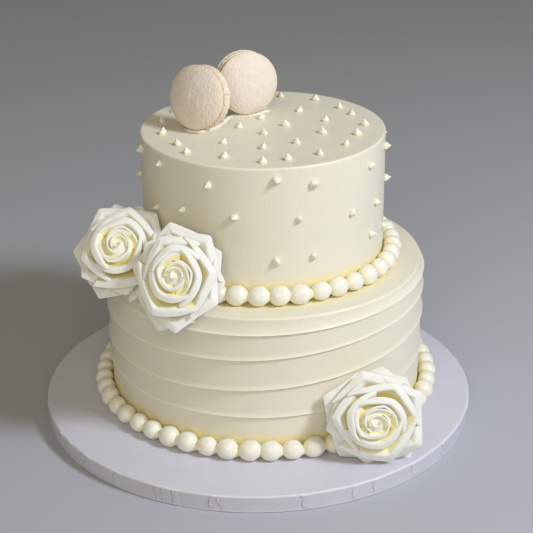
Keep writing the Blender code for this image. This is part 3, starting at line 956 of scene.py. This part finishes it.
def make_seat(seed):
    """The thin, uneven line of icing that holds both macarons to the top."""
    draw = random.Random(seed)
    corners = np.array(SEAT_PATH) * MM
    reach = np.concatenate([[0.0], np.cumsum(np.linalg.norm(np.diff(corners, axis=0), axis=1))])
    lengths, steps = 110, 12
    along = np.linspace(0.0, reach[-1], lengths)
    path = np.stack([np.interp(along, reach, corners[:, k]) for k in range(2)], axis=1)
    for _ in range(6):
        path[1:-1] = (path[:-2] + path[1:-1] + path[2:]) / 3
    way = np.gradient(path, axis=0)
    way /= np.linalg.norm(way, axis=1)[:, None]
    lumps = np.convolve([draw.uniform(0.55, 1.5) for _ in range(lengths + 2)], (0.25, 0.5, 0.25), "valid")
    taper = np.sqrt(np.clip(1 - np.abs(np.linspace(-1, 1, lengths)) ** 10, 0.0, 1.0))
    thick = 1.15 * MM * lumps * taper + 0.02 * MM
    points = []
    for (x, y), (way_x, way_y), half in zip(path, way, thick):
        for turn in round_angles(steps):
            side, lift = half * math.cos(turn), half * math.sin(turn)
            points.append((x + side * way_y, y - side * way_x, UPPER_TOP + 0.35 * MM + lift))
    # The whole line sits under the macarons and takes a little painted warm bounce light
    glow = [0.1] * len(points)
    new_piece("icing_seats", points, grid_faces(lengths, steps), "piped_buttercream", glow=glow)


def sepal_points(way, length):
    """A pointed sepal that lies outwards in that direction, as a grid three points wide."""
    points = []
    for share in np.linspace(0, 1, SEPAL_ROWS):
        reach = (4.5 + length * share) * MM
        half = 2.6 * MM * math.sin(math.pi * (0.18 + 0.8 * share)) ** 0.8
        height = (-10.9 + 1.5 * share - 1.2 * math.sin(math.pi * share)) * MM
        for side, lift in ((-1, 0.0), (0, 0.5 * MM), (1, 0.0)):
            x = reach * math.cos(way) - side * half * math.sin(way)
            y = reach * math.sin(way) + side * half * math.cos(way)
            points.append((x, y, height - lift))
    return points


def make_calyx(name, seed):
    """The green cup behind a rose and its five sepals. Under the front rose one of them shows."""
    centre, turn, tip_up, _, _ = ROSES[name]
    draw = random.Random(seed)
    calyx = Bunch()
    calyx.add(*turned_body(stacked_profiles([(r * MM, h * MM) for r, h in CALYX_CUP], steps=20)))
    for k in range(SEPALS):
        way = 2 * math.pi * (k + draw.uniform(-0.1, 0.1)) / SEPALS - math.pi / 2 + 0.15
        length = LONG_SEPAL if name == "front" and k == 0 else SHORT_SEPAL
        calyx.add(sepal_points(way, length), grid_faces(SEPAL_ROWS, 3, closed=False))
    points = placed(np.array(calyx.points), facing_frame(centre, aim(turn, tip_up)))
    piece = new_piece(f"green_calyx_{name}", points, calyx.faces, "calyx_plastic", [f"calyx_{name}"])
    soften_sheet(piece, 0.5 * MM, offset=-1.0)


def crease_paper(angles, level, radius):
    """How far the paper stands out in folds on the board's side, and how much painted shade lies in the
    groove beside each.
    """
    draw = random.Random(CREASE_SEED)
    relief, shade = np.zeros_like(level), np.zeros_like(level)
    for degrees in CREASES:
        slant, curl = draw.uniform(-3.8, 3.8), draw.uniform(-1.3, 1.3)
        firm = 0.7 + 0.3 * np.sin(draw.uniform(5, 11) * level + draw.uniform(0, 6))
        middle = math.radians(degrees) * radius + (slant * level + curl * np.sin(2 * np.pi * level)) * MM
        away = (angles[:, None] * radius - middle) / MM
        ridge = np.exp(-(away / CREASE_WIDTH) ** 2) * firm
        groove = np.exp(-((away + 1.0) / CREASE_WIDTH) ** 2) * firm
        lap = ease(away, 0.0, 1.0) * (1 - ease(away, 1.5, draw.uniform(4.0, 11.0)))
        relief = np.maximum(relief, np.maximum(ridge, 0.5 * lap))
        shade = np.maximum(shade, groove)
    return relief, shade


def make_board():
    """The drum board, with its paper folded and crinkled round the side."""
    given = bpy.context.scene.cake_board
    _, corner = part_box("board")
    radius, thick = corner.x, corner.z
    angles = round_angles(BOARD_STEPS)
    below = 1.8 * BOARD_EDGE
    columns = [(share * radius, thick, 0.0, 0.0) for share in (0.02, 0.3, 0.6, 0.8, 0.9, 0.96, 0.985)]
    columns += [(*column, 1.0, 0.5) for column in rounded_rim(radius, thick, BOARD_EDGE, turns=4)]
    for share in np.linspace(0.06, 0.94, 14):
        columns.append((radius, thick - BOARD_EDGE - (thick - BOARD_EDGE - below) * share, 0.0, 1.0))
    for cut in np.radians(np.linspace(0, 90, 4)):
        columns.append((radius - below * (1 - math.cos(cut)), below * (1 - math.sin(cut)), 0.4, 0.5))
    profiles = stacked_profiles([column[:2] for column in columns], BOARD_STEPS)
    edges = np.array([column[2] for column in columns])
    sides = np.array([column[3] for column in columns])
    height = profiles[..., 1]
    side = ease(profiles[..., 0], radius - 1.2 * BOARD_EDGE, radius)
    relief, shade = crease_paper(angles, height / thick - 0.5, radius)
    crinkle = smooth_noise(seed=31, waves=16, longest=60)(angles[:, None], height * 6)
    profiles[..., 0] -= (PAPER_SLACK - given.fold * np.minimum(relief, 1.0)) * side
    profiles[..., 0] -= 0.08 * MM * (1 + crinkle) * side
    points, faces = turned_body(profiles)
    # Paler rounded edges with painted highlights on the crease ridges, painted shade on the whole side and in
    # the grooves
    values = {
        "edge": turned_values(np.maximum(edges * 0.6, 0.75 * ease(relief, 0.5, 0.95) * sides)),
        "side": turned_values(sides + 0 * height),
        "shaded": turned_values(0.8 * shade * sides),
    }
    new_piece("drum_board", points, faces, "foil_paper", ["board"], **values)


def add_light(name, azimuth, elevation, distance, size, power, colour):
    """A square soft light that looks at the cake's middle from that direction."""
    data = bpy.data.lights.new(name, "AREA")
    data.energy = power
    data.size = size
    data.color = colour
    light = bpy.data.objects.new(name, data)
    level = distance * math.cos(math.radians(elevation))
    place = Vector(polar(level, azimuth, distance * math.sin(math.radians(elevation))))
    light.location = LIGHT_TARGET + place
    light.rotation_mode = "QUATERNION"
    light.rotation_quaternion = place.to_track_quat("Z", "Y")
    bpy.context.scene.collection.objects.link(light)


def add_camera():
    """The camera, where the photograph was taken from."""
    down = math.radians(CAMERA_DOWN)
    right, forward = Vector((1.0, 0.0, 0.0)), Vector((0.0, math.cos(down), -math.sin(down)))
    level = Matrix((right, right.cross(forward), -forward)).transposed()
    roll = Matrix.Rotation(math.radians(CAMERA_ROLL), 3, forward)
    data = bpy.data.cameras.new("camera")
    data.lens = CAMERA_LENS
    data.sensor_width = CAMERA_SENSOR
    camera = bpy.data.objects.new("camera", data)
    camera.matrix_world = Matrix.Translation(CAMERA_PLACE) @ (roll @ level).to_4x4()
    bpy.context.scene.collection.objects.link(camera)
    bpy.context.scene.camera = camera


class CAKE_OT_set_stage(bpy.types.Operator):
    """Floor, soft lights and the camera"""

    bl_idname = "cake.set_stage"
    bl_label = "Set Stage"

    def execute(self, context):
        given = context.scene.cake_stage
        context.scene.view_settings.view_transform = "Standard"
        world = bpy.data.worlds.new("soft_room")
        world.use_nodes = True
        background = world.node_tree.nodes["Background"]
        background.inputs["Color"].default_value = (1.0, 0.92, 0.68, 1.0)
        background.inputs["Strength"].default_value = given.ambient
        context.scene.world = world

        bpy.ops.mesh.primitive_plane_add(size=9.0, location=(0.0, 0.0, -0.2 * MM))
        floor = context.active_object
        floor.name = "floor"
        material = new_material("pale_floor")
        feed(material, tuple(given.floor), principled(material).inputs["Base Color"])
        feed(material, 0.8, principled(material).inputs["Roughness"])
        floor.data.materials.append(material)

        add_light("key", -32.0, 42.0, distance=1.5, size=0.3, power=given.key, colour=(0.86, 0.92, 1.0))
        add_light("fill", -96.0, 27.0, distance=2.2, size=1.6, power=given.fill, colour=(1.0, 0.915, 0.74))
        add_camera()
        return {"FINISHED"}


class CAKE_OT_wrap_board(bpy.types.Operator):
    """The drum board, whose foil paper is folded over its side"""

    bl_idname = "cake.wrap_board"
    bl_label = "Wrap Board"

    def execute(self, context):
        make_board()
        return {"FINISHED"}


class CAKE_OT_ice_tiers(bpy.types.Operator):
    """Both iced tiers, the lower one with its hand-drawn ridges"""

    bl_idname = "cake.ice_tiers"
    bl_label = "Ice Tiers"

    def execute(self, context):
        for node, axis, shape in (
            ("lower_tier", LOWER_AXIS, shape_lower_tier),
            ("upper_tier", UPPER_AXIS, shape_upper_tier),
        ):
            # Each tier's painted warm bounce light and painted lip highlight
            profiles, glow, pale = shape()
            points, faces = turned_body(profiles, axis)
            values = {"glow": turned_values(glow), "pale": turned_values(pale)}
            new_piece(f"iced_{node}", points, faces, "smooth_buttercream", [node], **values)
        return {"FINISHED"}


class CAKE_OT_pipe_peaks(bpy.types.Operator):
    """Small peaks over the upper tier's top and side"""

    bl_idname = "cake.pipe_peaks"
    bl_label = "Pipe Peaks"

    def execute(self, context):
        draw = random.Random(PEAK_SHAPE_SEED)
        peaks = Bunch()
        for spot, outward in peak_places():
            turned = outward.to_track_quat("Z", "Y").to_matrix().to_4x4()
            peaks.add(*shape_peak(draw, np.array(Matrix.Translation(Vector(spot)) @ turned)))
        finish, nodes = "piped_buttercream", ["upper_tier"]
        new_piece("piped_peaks", peaks.points, peaks.faces, finish, nodes, glow=peaks.values)
        return {"FINISHED"}


class CAKE_OT_pipe_borders(bpy.types.Operator):
    """The bead borders at the foot of each tier"""

    bl_idname = "cake.pipe_borders"
    bl_label = "Pipe Borders"

    def execute(self, context):
        lower = (LOWER_AXIS, BOARD_TOP, LOWER_FOOT_RADIUS, LOWER_BEADS)
        upper = (UPPER_AXIS, LOWER_TOP, UPPER_RADIUS, UPPER_BEADS)
        make_border("lower_border", "lower_beads", *lower, seed=3)
        make_border("upper_border", "upper_beads", *upper, seed=4)
        return {"FINISHED"}


class CAKE_OT_stand_macarons(bpy.types.Operator):
    """Two macarons that stand on their edges in a little icing"""

    bl_idname = "cake.stand_macarons"
    bl_label = "Stand Macarons"

    def execute(self, context):
        for number, (name, (centre, turn, tip, rim)) in enumerate(MACARONS.items()):
            facing = aim(turn, tip)
            ahead, behind = facing_frame(centre, facing), facing_frame(centre, -facing)
            node = f"macaron_{name}"
            make_shell(f"shell_{name}_face", f"{node}_face", ahead, rim, seed=50 + number)
            make_shell(f"shell_{name}_back", f"{node}_back", behind, rim, seed=60 + number)
            make_filling(f"cream_{name}", f"{node}_filling", ahead, seed=70 + number)
        make_seat(seed=80)
        return {"FINISHED"}


class CAKE_OT_place_roses(bpy.types.Operator):
    """Three foam roses, with the green calyx behind each"""

    bl_idname = "cake.place_roses"
    bl_label = "Place Roses"

    def execute(self, context):
        for number, name in enumerate(ROSES):
            make_rose(name, seed=90 + number)
            make_calyx(name, seed=95 + number)
        return {"FINISHED"}


class CAKE_PT_panel(bpy.types.Panel):
    """Lists the cake's pieces and their settings"""

    bl_idname = "CAKE_PT_panel"
    bl_label = "Tiered Cake"
    bl_space_type = "VIEW_3D"
    bl_region_type = "UI"
    bl_category = "Cake"

    def draw(self, context):
        layout = self.layout
        for name, (_, operators) in SETTINGS.items():
            settings = getattr(context.scene, name)
            box = layout.box()
            for operator in operators:
                box.operator(operator.bl_idname)
            for label in settings.__annotations__:
                box.prop(settings, label)


# Each group of settings, with the operators that use it, in the order in which the cake is made
SETTINGS = {
    "cake_stage": (CakeStage, [CAKE_OT_set_stage]),
    "cake_board": (CakeBoard, [CAKE_OT_wrap_board]),
    "cake_icing": (CakeIcing, [CAKE_OT_ice_tiers]),
    "cake_piping": (CakePiping, [CAKE_OT_pipe_peaks, CAKE_OT_pipe_borders]),
    "cake_macarons": (CakeMacarons, [CAKE_OT_stand_macarons]),
    "cake_roses": (CakeRoses, [CAKE_OT_place_roses]),
}
CLASSES = [
    *(group for group, _ in SETTINGS.values()),
    *(operator for _, operators in SETTINGS.values() for operator in operators),
    CAKE_PT_panel,
]


def register():
    for cls in CLASSES:
        bpy.utils.register_class(cls)
    for name, (group, _) in SETTINGS.items():
        setattr(bpy.types.Scene, name, PointerProperty(type=group))


def unregister():
    for name in SETTINGS:
        delattr(bpy.types.Scene, name)
    for cls in reversed(CLASSES):
        bpy.utils.unregister_class(cls)


def main():
    register()
    bpy.ops.cake.set_stage()
    bpy.ops.cake.wrap_board()
    bpy.ops.cake.ice_tiers()
    bpy.ops.cake.pipe_peaks()
    bpy.ops.cake.pipe_borders()
    bpy.ops.cake.stand_macarons()
    bpy.ops.cake.place_roses()


if __name__ == "__main__":
    main()
